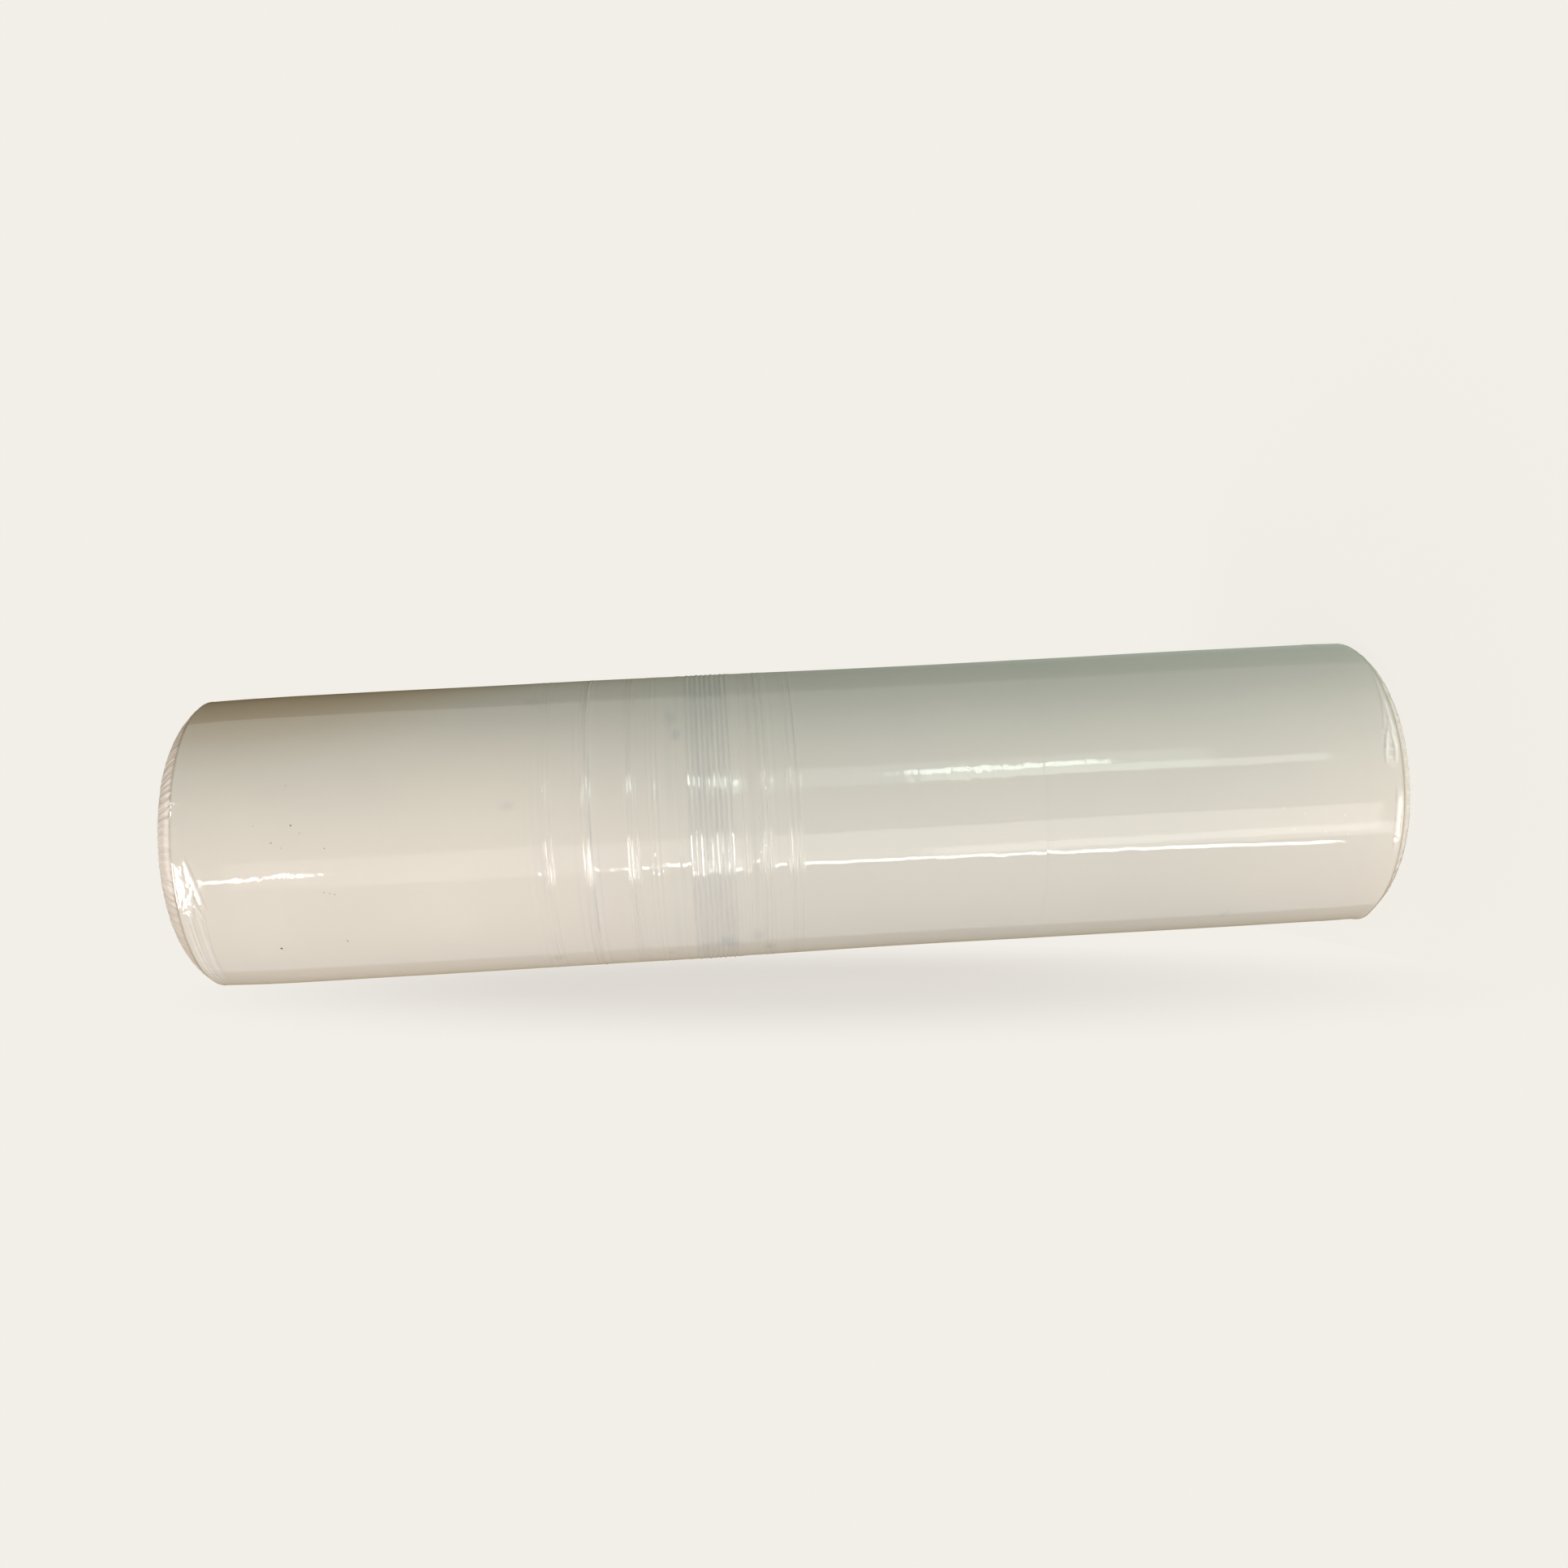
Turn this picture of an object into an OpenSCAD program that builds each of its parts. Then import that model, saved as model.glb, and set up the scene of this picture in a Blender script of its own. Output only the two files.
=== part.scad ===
// Roll of stretch wrap: film wound on a card core, standing on one end.
// z = 0 is the face that the roll stands on, and +Z runs up its axis.
// A turn angle of 0 is the line nearest the viewer, at -Y, and it grows towards +X.

/* [Film roll] */
// Width of the film, which is the roll's height as it stands
film_width = 500; // [440:1:600]
// Outer diameter of the wound film
roll_d = 121.6; // [112:0.2:150]
// How much thinner in radius the winding is at its waist
waist_depth = 0.45; // [0:0.05:1.5]
// Height of the middle of the waist
waist_z = 185; // [130:1:190]
// Distance from the middle of the waist to either end of it
waist_half = 120; // [60:1:120]

/* [Upper end] */
// Height of the shoulder where the outer turns draw in over the upper end
upper_shoulder_h = 9.1; // [5:0.1:14]
// Width across which the upper shoulder draws in
upper_shoulder_in = 12.1; // [6:0.1:14]
// How far the outer turns have sagged inwards by the time they reach the shoulder
upper_sag = 0.8; // [0.2:0.05:2]
// Length of the roll over which they sag
upper_sag_h = 40; // [20:1:60]
// Number of pleats gathered round the upper shoulder
upper_pleats = 108; // [60:1:120]

/* [Lower end] */
// Height of the shoulder at the end the roll stands on
lower_shoulder_h = 6.8; // [5:0.1:14]
// Width across which the lower shoulder draws in
lower_shoulder_in = 9.1; // [6:0.1:14]
// How far the outer turns sag inwards above the lower shoulder
lower_sag = 0.35; // [0.2:0.05:2]
// Length of the roll over which they sag there
lower_sag_h = 14; // [10:1:60]
// Number of pleats gathered round the lower shoulder
lower_pleats = 54; // [30:1:80]

/* [Film edges] */
// Depth of the valleys between the pleats
pleat_depth = 0.7; // [0.3:0.05:1]
// How far each shoulder crowns outwards between its two edges
shoulder_crown = 1.1; // [0.4:0.1:1.6]
// How far the gathered edge stands proud of the roll's side
edge_bead = 0.15; // [0.05:0.05:0.4]
// Width of the flat lip that the gathered edge ends in
lip_w = 3; // [2:0.1:5]
// How unevenly the pleats are spaced, as a share of half a pleat
pleat_jitter = 0.35; // [0:0.05:0.4]
// Depth of the wound faces below the lips
face_recess = 0.9; // [0.6:0.1:1.5]
// Width of one step between the turns on the wound faces
turn_step_w = 1.25; // [1:0.05:3]
// Largest height of such a step
turn_step_h = 0.3; // [0.1:0.05:0.5]

/* [Gauge bands] */
// Height of the ridges in the main gauge band
ridge_h = 0.28; // [0.1:0.02:0.5]
// Height of the middle of the main gauge band
gauge_z = 282.7; // [270:0.1:290]

/* [Creases] */
// Height of the creases in the outermost film
crease_h = 0.5; // [0.2:0.05:0.9]
// Half the width of a crease at its foot
crease_half_w = 0.9; // [0.6:0.1:1.5]

/* [Card core] */
// Bore of the core
core_bore_d = 50.8; // [48:0.1:51.5]
// Wall of the core
core_wall = 3.6; // [3:0.1:4.5]
// Bevel worn on the core's edges
core_edge = 0.5; // [0.2:0.1:1]

/* [Hidden] */
$fn = 96;
roll_r = roll_d / 2;
core_r = core_bore_d / 2 + core_wall;
// The film is wound straight on the core, so its bore is the core's outside
film_bore_r = core_r;
core_length = film_width;

// Edges where the side turns into the shoulders
upper_edge_r = roll_r - upper_sag;
upper_edge_z = film_width - upper_shoulder_h;
lower_edge_r = roll_r - lower_sag;
lower_edge_z = lower_shoulder_h;
// Lips where the shoulders end
upper_lip_r = roll_r - upper_shoulder_in;
lower_lip_r = roll_r - lower_shoulder_in;
// The winding lies this far under the valleys of the gathered edges
seat = 0.4;
// Steps along the side between the gauge bands
side_step = 14;
// Steps across a shoulder between its edge and its lip
crown_steps = 4;
// The gathered edges reach this far into the winding, and this far below their edge
root_in = 1.6;
root_h = 2.4;
// Share of the pleats' depth at the edge, at the lip and inside the lip
edge_share = 0.35;
lip_share = 0.6;
inner_share = 0.3;
// Where the lower edge stands off the winding: turn angle, half the turn it takes, height
lower_bulge = [-71, 11, 0.9];
// A bulge is whole where the pleats have this share of their depth
bulge_share = 0.35;
// Turns that scatter the heights and the places of what repeats, so that no pattern shows
height_scatter = 137;
place_scatter = 77;
// Lowest ridge and shallowest pleat, as shares of the tallest and the deepest
least_ridge = 0.5;
least_pleat = 0.4;
// Turn from one step of a crease to the next, and the fewest steps of a crease
crease_step = 6;
crease_steps = 4;
// A crease's foot lies this far inside the winding, and so do both of its tips
crease_root = 0.5;
crease_tip = 0.05;

// Gauge bands, from the base upwards: middle measured from the main band's, width, ridges,
// and height of a ridge as a share of the main band's
gauge_bands = [
    [-132.4, 2, 1, 0.4],
    [-21.1, 4, 2, 0.5],
    [-16, 1.6, 1, 0.6],
    [0, 18.4, 9, 1],
    [12.7, 2, 1, 0.6],
    [22.6, 6, 3, 0.45],
    [31.5, 1.6, 1, 0.5],
    [48.4, 1.2, 1, 0.7],
    [69.2, 9, 3, 0.25]
];

// Creases near the upper edge: angle and distance below the film's end at the start, the same
// at the finish, how far the crease bows, and its height as a share of the tallest
upper_creases = [
    [-3, 12.6, -76, 12.2, 0.6, 1],
    [-7, 14.6, -58, 16.4, 0.7, 0.8],
    [-24, 18.4, -80, 15.6, -0.6, 0.9],
    [-4, 13.6, -25, 19.2, 0.4, 1],
    [-12, 17.6, -29, 13.4, -0.5, 0.8],
    [-17, 13.2, -30, 18, 0.3, 0.7],
    [132, 13, 171, 14.6, 0.6, 0.7],
    [118, 15.4, 149, 12.8, -0.4, 0.6],
    [-118, 14.2, -158, 12.6, 0.5, 0.8]
];

// Creases near the lower edge, with distances above the face that the roll stands on
lower_creases = [
    [41, 11.8, 12, 8.4, 0.8, 0.9],
    [36, 8.6, 17, 12.2, -0.5, 0.8],
    [19, 8.4, 7, 12.4, 0.9, 1],
    [20, 9.6, 8, 11.2, -0.9, 0.8],
    [-3, 9, -28, 8.8, 0.3, 0.9],
    [-104, 9.4, -141, 8.6, 0.5, 0.7],
    [153, 8.8, 121, 10.6, 0.4, 0.8]
];

// A value from least to 1 that changes from one number to the next without a pattern
function varied(i, least) = least + (1 - least) * (0.5 + 0.5 * sin(height_scatter * i));

// Radius of the winding at a height, without its ridges
function side_r(z) = roll_r - waist(z) - upper_pull(z) - lower_pull(z);
function waist(z) =
    abs(z - waist_z) < waist_half ? waist_depth * (1 + cos(180 * (z - waist_z) / waist_half)) / 2 : 0;
function upper_pull(z) = upper_sag * pow(max(0, 1 - (upper_edge_z - z) / upper_sag_h), 2);
function lower_pull(z) = lower_sag * pow(max(0, 1 - (z - lower_edge_z) / lower_sag_h), 2);

// Point of the side at a height and turn angle
function on_side(z, turn, out = 0) =
    let (r = side_r(z) + out)
    [r * sin(turn), -r * cos(turn), z];

// Side of the winding from one height to another, in equal steps
function plain_side(z_from, z_to) =
    let (steps = ceil((z_to - z_from) / side_step))
    [for (i = [0 : steps - 1]) let (z = z_from + (z_to - z_from) * i / steps) [side_r(z), z]];

// Low and high end of a gauge band
function band_low(b) = gauge_z + b[0] - b[1] / 2;
function band_high(b) = gauge_z + b[0] + b[1] / 2;

// Ridges of a gauge band: a foot and a crest for each
function ridged_side(b) =
    let (pitch = b[1] / b[2])
    [for (i = [0 : b[2] - 1])
        let (foot = band_low(b) + i * pitch)
        let (crest = foot + pitch / 2)
        each [
            [side_r(foot), foot],
            [side_r(crest) + ridge_h * b[3] * varied(i, least_ridge), crest]
        ]
    ];

// The whole side from the lower to the upper edge
function side_outline() =
    let (last = len(gauge_bands) - 1)
    let (z_start = lower_edge_z - seat)
    let (z_stop = upper_edge_z + seat)
    [for (i = [0 : last])
        let (z_from = i == 0 ? z_start : band_high(gauge_bands[i - 1]))
        each concat(plain_side(z_from, band_low(gauge_bands[i])), ridged_side(gauge_bands[i])),
     each plain_side(band_high(gauge_bands[last]), z_stop),
     [side_r(z_stop), z_stop]];

// Wound face: stepped rings of turns between the core and the lip, z growing into the roll
function wound_face(r_to) =
    let (rings = floor((r_to - film_bore_r) / turn_step_w))
    let (w = (r_to - film_bore_r) / rings)
    [for (i = [0 : rings - 1])
        let (depth = face_recess + turn_step_h * varied(i, 0))
        each [[film_bore_r + i * w, depth], [film_bore_r + (i + 1) * w, depth]]
    ];

// Turns a list of points end for end
function reversed(points) = [for (i = [len(points) - 1 : -1 : 0]) points[i]];

// Half section of the winding, without the gathered edges
function winding_section() =
    let (under = pleat_depth + seat)
    concat(
        wound_face(lower_lip_r - lip_w / 2),
        [[lower_lip_r - lip_w / 2, under + face_recess]],
        [[lower_lip_r, under + face_recess]],
        side_outline(),
        [[upper_lip_r, film_width - under - face_recess]],
        [[upper_lip_r - lip_w / 2, film_width - under - face_recess]],
        [for (p = reversed(wound_face(upper_lip_r - lip_w / 2))) [p[0], film_width - p[1]]]
    );

// Direction square to a shoulder, outwards, as [along the radius, towards the film's end]
function shoulder_out(edge_r, lip_r, h) = [h, edge_r - lip_r] / norm([h, edge_r - lip_r]);

// Outline across a gathered edge, from the side over the shoulder to the lip, as steps
// [radius, depth from the end, share of the pleat's depth there]
function gathered_rows(edge_r, lip_r, h) =
    let (out = shoulder_out(edge_r, lip_r, h))
    [
        [edge_r - root_in, h + root_h, 0],
        [edge_r + edge_bead, h, edge_share],
        each [for (i = [1 : crown_steps])
            let (t = i / (crown_steps + 1))
            let (crown = shoulder_crown * sin(180 * t))
            [edge_r - (edge_r - lip_r) * t + crown * out[0], h * (1 - t) - crown * out[1], 1]],
        [lip_r, 0, lip_share],
        [lip_r - lip_w, 0, inner_share],
        [lip_r - lip_w, face_recess + turn_step_h + seat + pleat_depth, 0],
        [lip_r, h + root_in, 0]
    ];

// Height of a bulge at a turn angle
function bulge_at(b, turn) =
    let (off = abs((turn - b[0] + 540) % 360 - 180))
    off < b[1] ? b[2] * (1 + cos(180 * off / b[1])) / 2 : 0;

// One gathered edge, with z measured from the film's end into the roll
module gathered_edge(edge_r, lip_r, h, pleats, bulge = [0, 1, 0]) {
    rows = gathered_rows(edge_r, lip_r, h);
    out = shoulder_out(edge_r, lip_r, h);
    columns = 2 * pleats;
    n = len(rows);
    points = [
        for (j = [0 : columns - 1])
        let (turn = 360 * (j + pleat_jitter * sin(place_scatter * j)) / columns)
        let (dip = j % 2 == 1 ? 0 : pleat_depth * varied(j, least_pleat))
        for (row = rows)
        let (swell = bulge_at(bulge, turn) * min(1, row[2] / bulge_share))
        let (r = row[0] - dip * row[2] * out[0] + swell)
        let (z = row[1] > 0 ? row[1] + dip * row[2] * out[1] : 0)
        [r * sin(turn), -r * cos(turn), z]
    ];
    faces = [
        for (j = [0 : columns - 1])
        let (k = (j + 1) % columns)
        for (i = [0 : n - 1])
        let (m = (i + 1) % n)
        each [
            [j * n + i, k * n + i, k * n + m],
            [j * n + i, k * n + m, j * n + m]
        ]
    ];
    polyhedron(points = points, faces = faces, convexity = 6);
}

// One crease: a low ridge laid along the side, tapering to nothing at both ends
module crease(turn_from, z_from, turn_to, z_to, bow, share) {
    steps = ceil(abs(turn_to - turn_from) / crease_step) + crease_steps;
    points = [
        for (i = [0 : steps])
        let (t = i / steps)
        let (turn = turn_from + (turn_to - turn_from) * t)
        let (z = z_from + (z_to - z_from) * t + bow * sin(180 * t))
        let (rise = crease_h * share * sin(180 * t))
        each [
            on_side(z - crease_half_w, turn, -crease_root),
            on_side(z, turn, rise - crease_tip),
            on_side(z + crease_half_w, turn, -crease_root)
        ]
    ];
    faces = [
        [0, 1, 2],
        for (i = [0 : steps - 1], m = [0 : 2])
        let (a = 3 * i + m)
        let (b = 3 * i + (m + 1) % 3)
        each [[a, a + 3, b + 3], [a, b + 3, b]],
        [3 * steps + 2, 3 * steps + 1, 3 * steps]
    ];
    // A crease that runs towards larger angles has its faces turned, so that they look outwards
    outward = turn_to < turn_from ? faces : [for (face = faces) reversed(face)];
    polyhedron(points = points, faces = outward, convexity = 4);
}

module film_roll() {
    color([0.86, 0.83, 0.78]) {
        rotate_extrude() polygon(winding_section());
        gathered_edge(lower_edge_r, lower_lip_r, lower_shoulder_h, lower_pleats, lower_bulge);
        translate([0, 0, film_width])
            mirror([0, 0, 1])
            gathered_edge(upper_edge_r, upper_lip_r, upper_shoulder_h, upper_pleats);
        for (c = upper_creases)
            crease(c[0], film_width - c[1], c[2], film_width - c[3], c[4], c[5]);
        for (c = lower_creases)
            crease(c[0], c[1], c[2], c[3], c[4], c[5]);
    }
}

module core_tube() {
    color([0.72, 0.58, 0.42])
        rotate_extrude()
        polygon([
            [core_bore_d / 2 + core_edge, 0],
            [core_r, 0],
            [core_r, core_length],
            [core_bore_d / 2 + core_edge, core_length],
            [core_bore_d / 2, core_length - core_edge],
            [core_bore_d / 2, core_edge]
        ]);
}

film_roll();
core_tube();
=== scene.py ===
"""A roll of stretch wrap on its card core, standing on one end.

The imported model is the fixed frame. The wound film's solid is replaced by a finer skin of the
same form, with clear gathered film edges over both ends, and the card core keeps its solid.
Lengths are in millimetres until a mesh is finished, and angles are in degrees. A turn angle of
0 is the line nearest the camera, at -Y, and it grows towards +X.
"""
import logging
import math
from dataclasses import dataclass, field
from enum import Enum
from typing import Iterable, Optional, Sequence

import bmesh
import bpy
from mathutils import Matrix, Vector, noise


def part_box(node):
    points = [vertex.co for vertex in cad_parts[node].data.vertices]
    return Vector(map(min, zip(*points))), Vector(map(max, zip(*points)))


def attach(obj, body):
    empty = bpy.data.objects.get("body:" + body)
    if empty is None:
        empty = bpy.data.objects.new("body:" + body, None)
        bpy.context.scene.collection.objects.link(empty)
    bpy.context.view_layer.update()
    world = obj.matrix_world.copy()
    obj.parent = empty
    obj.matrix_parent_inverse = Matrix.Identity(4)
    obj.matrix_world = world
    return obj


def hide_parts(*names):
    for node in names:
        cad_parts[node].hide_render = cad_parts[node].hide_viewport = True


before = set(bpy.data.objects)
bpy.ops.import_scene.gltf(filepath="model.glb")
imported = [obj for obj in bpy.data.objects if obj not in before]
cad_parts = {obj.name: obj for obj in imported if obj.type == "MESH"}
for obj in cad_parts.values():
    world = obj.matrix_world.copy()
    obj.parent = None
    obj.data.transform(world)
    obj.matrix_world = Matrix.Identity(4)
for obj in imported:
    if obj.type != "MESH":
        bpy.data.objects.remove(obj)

LOG = logging.getLogger("stretch_wrap_roll")
MM = 0.001
BODY = "root"
# A crease's painted shade lies beside it, along its foot: its middle and half width, in half widths of
# the crease
FOOT_SHADE_MIDDLE = 1.1
FOOT_SHADE_HALF_WIDTH = 0.7

Row = tuple[float, float]
Colour = tuple[float, float, float]
Socket = bpy.types.NodeSocket


class End(Enum):
    """The two ends of the roll."""

    LOWER = "lower"
    UPPER = "upper"


def per_end(lower: float, upper: float) -> dict[End, float]:
    """A dataclass field that holds one value for each end."""
    return field(default_factory=lambda: {End.LOWER: lower, End.UPPER: upper})


def clamp(value: float, low: float = 0.0, high: float = 1.0) -> float:
    """Keeps a value between two limits."""
    return max(low, min(high, value))


def smooth(value: float) -> float:
    """Eases a share from 0 to 1 so that it starts and ends gently."""
    t = clamp(value)
    return t * t * (3 - 2 * t)


def srgb(red: int, green: int, blue: int) -> Colour:
    """Turns a colour as a picture shows it into the light values that shaders use.

    Args:
        red: Red, from 0 to 255.
        green: Green, from 0 to 255.
        blue: Blue, from 0 to 255.

    Returns:
        The same colour in linear values.
    """
    def linear(channel: int) -> float:
        c = channel / 255
        return c / 12.92 if c <= 0.04045 else ((c + 0.055) / 1.055) ** 2.4

    return linear(red), linear(green), linear(blue)


def grain(x: float, y: float, z: float, size: float, seed: float = 0.0) -> float:
    """Smooth noise at a point.

    Args:
        x: Place along X in millimetres.
        y: Place along Y in millimetres.
        z: Place along Z in millimetres.
        size: Width of one bump in millimetres.
        seed: Moves the pattern, so that two uses differ.

    Returns:
        A value from about -1 to 1.
    """
    return noise.noise(Vector((x / size + seed, y / size - seed, z / size + 2 * seed)))


def varied(number: int, least: float) -> float:
    """A value from least to 1 that changes from one number to the next without a pattern."""
    return least + (1 - least) * (0.5 + 0.5 * math.sin(math.radians(137 * number)))


def table(kind: type, *rows: tuple) -> tuple:
    """Makes one item of a kind from each row of values."""
    return tuple(kind(*row) for row in rows)


def at_turn(radius: float, turn: float, z: float) -> Vector:
    """The point at a distance from the axis, a turn angle and a height."""
    angle = math.radians(turn)
    return Vector((radius * math.sin(angle), -radius * math.cos(angle), z))


def linked(name: str, data: bpy.types.ID) -> bpy.types.Object:
    """Makes an object of a mesh, light or camera, and links it to the scene."""
    item = bpy.data.objects.new(name, data)
    bpy.context.scene.collection.objects.link(item)
    return item


def ride(piece: bpy.types.Object) -> bpy.types.Object:
    """Fixes a finished piece to the roll's body."""
    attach(piece, BODY)
    LOG.info("made %s with %d faces", piece.name, len(piece.data.polygons))
    return piece


@dataclass(frozen=True)
class GaugeBand:
    """A band of fine rings where the film is a little thicker."""

    offset: float
    width: float
    ridges: int
    share: float


@dataclass(frozen=True)
class Crease:
    """A fold in the outermost film, running round the roll near one end, with painted shade along its
    foot.

    The distances are measured from the film's end at that side.
    """

    end: End
    turn_from: float
    depth_from: float
    turn_to: float
    depth_to: float
    bow: float
    share: float
    half_width: float = 0.9

    def at(self, turn: float, depth: float) -> tuple[float, float]:
        """Height of the fold and strength of the painted shade at its foot, at a point of the side.

        Args:
            turn: Turn angle of the point.
            depth: Distance of the point from the film's end.

        Returns:
            The lift and the painted shade at the foot, each from 0 to the fold's share of the tallest.
        """
        along = (turn - self.turn_from) / (self.turn_to - self.turn_from)
        if not 0 < along < 1:
            return 0.0, 0.0
        middle = self.depth_from + (self.depth_to - self.depth_from) * along
        middle += self.bow * math.sin(math.pi * along)
        strength = self.share * math.sin(math.pi * along) ** 0.6
        off = (depth - middle) / self.half_width
        foot_off = abs(off - FOOT_SHADE_MIDDLE) / FOOT_SHADE_HALF_WIDTH
        return strength * smooth(1 - abs(off)), strength * smooth(1 - foot_off)


@dataclass(frozen=True)
class Bulge:
    """A place where the gathered edge stands off the winding."""

    end: End
    turn: float
    half_turn: float
    height: float

    def at(self, turn: float) -> float:
        """Height of the bulge at a turn angle."""
        off = abs((turn - self.turn + 180) % 360 - 180) / self.half_turn
        return self.height * (1 + math.cos(math.pi * off)) / 2 if off < 1 else 0.0


@dataclass(frozen=True)
class Ruffle:
    """A patch of crumpled film on the side near one end, measured from the film's end there."""

    end: End
    turn: float
    half_arc: float
    depth: float
    half_depth: float
    height: float
    size: float = 6.0

    def lift(self, turn: float, depth: float, point: Vector) -> float:
        """Height of the crumpled film's folds at a point of the side.

        Args:
            turn: Turn angle of the point.
            depth: Distance of the point from the film's end.
            point: The point itself, in millimetres.

        Returns:
            The lift in millimetres, 0 outside the patch.
        """
        off = abs((turn - self.turn + 180) % 360 - 180)
        near = 1 - math.hypot(off / self.half_arc, (depth - self.depth) / self.half_depth)
        if near <= 0:
            return 0.0
        folds = self._folds(point, self.size, 11.0) + 0.4 * self._folds(point, 0.5 * self.size, 17.0)
        return self.height * smooth(2 * near) * folds

    @staticmethod
    def _folds(point: Vector, size: float, seed: float) -> float:
        """Sharp crests that wander over the film, from 0 to 1."""
        crest = 1 - min(1.0, 3.2 * abs(grain(point.x, point.y, 1.3 * point.z, size, seed)))
        return crest ** 2


@dataclass
class RollForm:
    """Form of the wound film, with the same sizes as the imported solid."""

    width: float
    core_radius: float
    radius: float = 60.8
    waist_depth: float = 0.45
    waist_z: float = 185.0
    waist_half: float = 120.0
    sag: dict[End, float] = per_end(0.35, 0.8)
    sag_length: dict[End, float] = per_end(14.0, 40.0)
    shoulder_height: dict[End, float] = per_end(6.8, 9.1)
    shoulder_in: dict[End, float] = per_end(9.1, 12.1)
    lip_width: float = 3.0
    face_recess: float = 0.9
    ridge_height: float = 0.29
    gauge_z: float = 282.7
    bands: tuple[GaugeBand, ...] = table(
        GaugeBand,
        (-132.4, 2, 1, 0.4), (-21.1, 4, 2, 0.5), (-16, 1.6, 1, 0.6), (0, 18.4, 9, 1), (12.7, 2, 1, 0.6),
        (22.6, 6, 3, 0.45), (31.5, 1.6, 1, 0.5), (48.4, 1.2, 1, 0.7), (69.2, 9, 3, 0.25),
    )
    creases: tuple[Crease, ...] = table(
        Crease,
        (End.UPPER, -3, 12.6, -76, 12.2, 0.6, 0.6, 0.6),
        (End.UPPER, -7, 14.6, -58, 16.4, 0.7, 0.5, 0.6),
        (End.UPPER, -24, 18.4, -80, 15.6, -0.6, 0.6, 0.6), (End.UPPER, -4, 13.6, -25, 19.2, 0.4, 1),
        (End.UPPER, -12, 17.6, -29, 13.4, -0.5, 0.8), (End.UPPER, -17, 13.2, -30, 18, 0.3, 0.7),
        (End.UPPER, -11, 11.6, -25, 15.2, 0.2, 0.6, 0.7),
        (End.UPPER, -12, 12.2, -21, 18.8, 0.3, 0.5, 0.7),
        (End.UPPER, -22, 17.0, -78, 13.8, 0.3, 0.6, 0.8),
        (End.UPPER, -28, 11.4, -74, 10.8, 0.4, 0.6, 0.7), (End.UPPER, 132, 13, 171, 14.6, 0.6, 0.7),
        (End.UPPER, 118, 15.4, 149, 12.8, -0.4, 0.6), (End.UPPER, -118, 14.2, -158, 12.6, 0.5, 0.8),
        (End.LOWER, 46, 7.4, 18, 8.6, 0.5, 0.5), (End.LOWER, 36, 8.6, 17, 12.2, -0.5, 0.4),
        (End.LOWER, 21, 9.4, 5, 12.8, 0.9, 1), (End.LOWER, 20, 9.6, 5, 9.2, -0.9, 1),
        (End.LOWER, -3, 9, -28, 8.8, 0.3, 0.9), (End.LOWER, -104, 9.4, -141, 8.6, 0.5, 0.7),
        (End.LOWER, 153, 8.8, 121, 10.6, 0.4, 0.8),
    )
    fold_height: float = 0.24
    bulges: tuple[Bulge, ...] = (Bulge(End.LOWER, -75, 13, 1.1),)
    ruffles: tuple[Ruffle, ...] = table(
        Ruffle,
        (End.UPPER, -18, 15, 15.0, 5.5, 0.16, 4.0), (End.UPPER, -50, 30, 12.5, 3.0, 0.1),
        (End.UPPER, 60, 200, 11.0, 2.2, 0.03), (End.LOWER, 14, 12, 10.4, 4.2, 0.24, 4.0),
        (End.LOWER, -16, 18, 8.6, 2.2, 0.14, 5.0), (End.LOWER, 180, 200, 8.8, 2.6, 0.05),
    )
    ripples: tuple[Row, ...] = ((62.0, 0.16), (24.0, 0.035), (9.0, 0.006))

    def edge_radius(self, end: End) -> float:
        """Radius of the edge where the side turns into a shoulder."""
        return self.radius - self.sag[end]

    def lip_radius(self, end: End) -> float:
        """Radius where a shoulder ends in its lip."""
        return self.radius - self.shoulder_in[end]

    def height(self, end: End, depth: float) -> float:
        """Height above the floor of a point at a depth from one end."""
        return depth if end is End.LOWER else self.width - depth

    def side_radius(self, z: float) -> float:
        """Radius of the winding at a height, without its ridges.

        Args:
            z: Height above the face that the roll stands on.

        Returns:
            The radius.
        """
        radius = self.radius
        if abs(z - self.waist_z) < self.waist_half:
            off = (z - self.waist_z) / self.waist_half
            radius -= self.waist_depth * (1 + math.cos(math.pi * off)) / 2
        for end in End:
            depth = z if end is End.LOWER else self.width - z
            past = clamp(1 - (depth - self.shoulder_height[end]) / self.sag_length[end])
            radius -= self.sag[end] * past ** 2
        return radius

    def ridge(self, z: float) -> float:
        """Height of the gauge ridges over the plain side at a height."""
        for band in self.bands:
            low = self.gauge_z + band.offset - band.width / 2
            along = (z - low) / band.width * band.ridges
            if 0 < along < band.ridges:
                crest = 0.5 - 0.5 * math.cos(2 * math.pi * along)
                return self.ridge_height * band.share * varied(math.floor(along), 0.5) * crest
        return 0.0

    def ripple(self, x: float, y: float, z: float) -> float:
        """How far the soft winding stands out or in at a point of its side."""
        return sum(depth * grain(x, y, z, size, size) for size, depth in self.ripples)

    def crease(self, end: End, turn: float, depth: float) -> tuple[float, float]:
        """Lift of the creases and of the painted shade at their feet, at a point near one end, as
        shares.
        """
        found = [fold.at(turn, depth) for fold in self.creases if fold.end is end]
        lift = max(share for share, _ in found)
        return lift, max(foot_shade for _, foot_shade in found) * (1 - lift)

    def bulge(self, end: End, turn: float) -> float:
        """How far the gathered edge stands off the winding at a turn angle."""
        return sum(bulge.at(turn) for bulge in self.bulges if bulge.end is end)


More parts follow.
